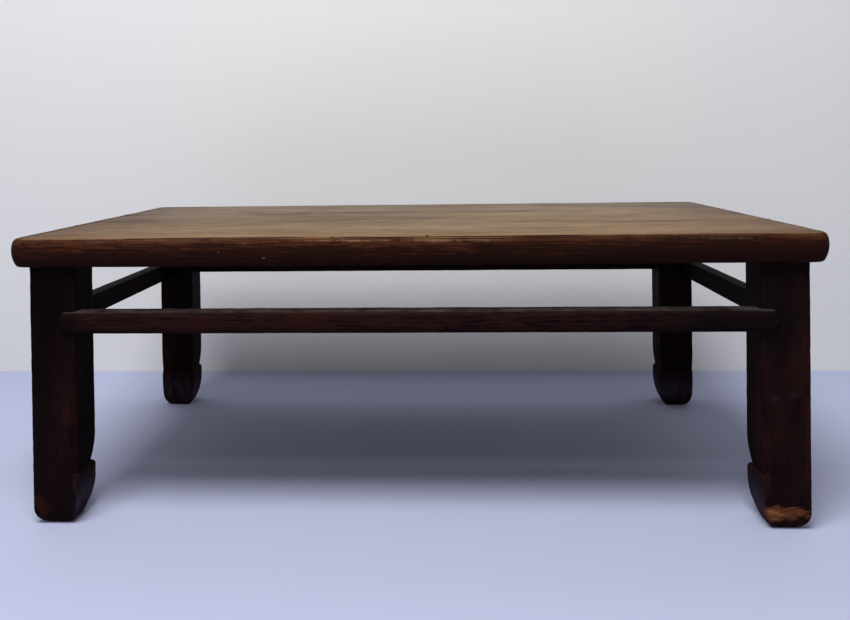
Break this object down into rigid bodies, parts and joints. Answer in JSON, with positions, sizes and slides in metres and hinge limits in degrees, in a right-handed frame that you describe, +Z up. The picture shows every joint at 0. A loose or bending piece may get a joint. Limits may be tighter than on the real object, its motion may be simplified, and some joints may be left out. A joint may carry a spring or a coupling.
{
  "type": "low table",
  "caption": "Low rectangular wooden table with a plank top, square legs on notched hoof feet and a lapped stretcher on each side, for use while sitting on the floor.",
  "frame": {"origin": "on the floor, under the middle of the top", "axes": "+X along the length, to the right of someone who faces the front; +Y from the front to the rear; +Z up"},
  "size_m": [0.88, 0.514, 0.316],
  "materials": {
    "top_wood": "worn satin, brown, open grain along the length",
    "frame_wood": "dark stained satin, rubbed paler on the arrises",
    "inner_wood": "unfinished, aged"
  },
  "bodies": {
    "root": {"top_board_front": "top_wood", "top_board_middle": "top_wood", "top_board_rear": "top_wood", "edge_pin_front_1": "inner_wood", "edge_pin_front_2": "inner_wood", "edge_pin_front_3": "inner_wood", "edge_pin_rear_1": "inner_wood", "edge_pin_rear_2": "inner_wood", "edge_pin_rear_3": "inner_wood", "batten_left": "inner_wood", "batten_right": "inner_wood", "leg_front_left": "frame_wood", "leg_front_right": "frame_wood", "leg_rear_right": "frame_wood", "leg_rear_left": "frame_wood", "tenon_wedge_front_left": "inner_wood", "tenon_wedge_front_right": "inner_wood", "tenon_wedge_rear_right": "inner_wood", "tenon_wedge_rear_left": "inner_wood", "stretcher_front": "frame_wood", "stretcher_right": "frame_wood", "stretcher_rear": "frame_wood", "stretcher_left": "frame_wood"}
  },
  "joints": []
}
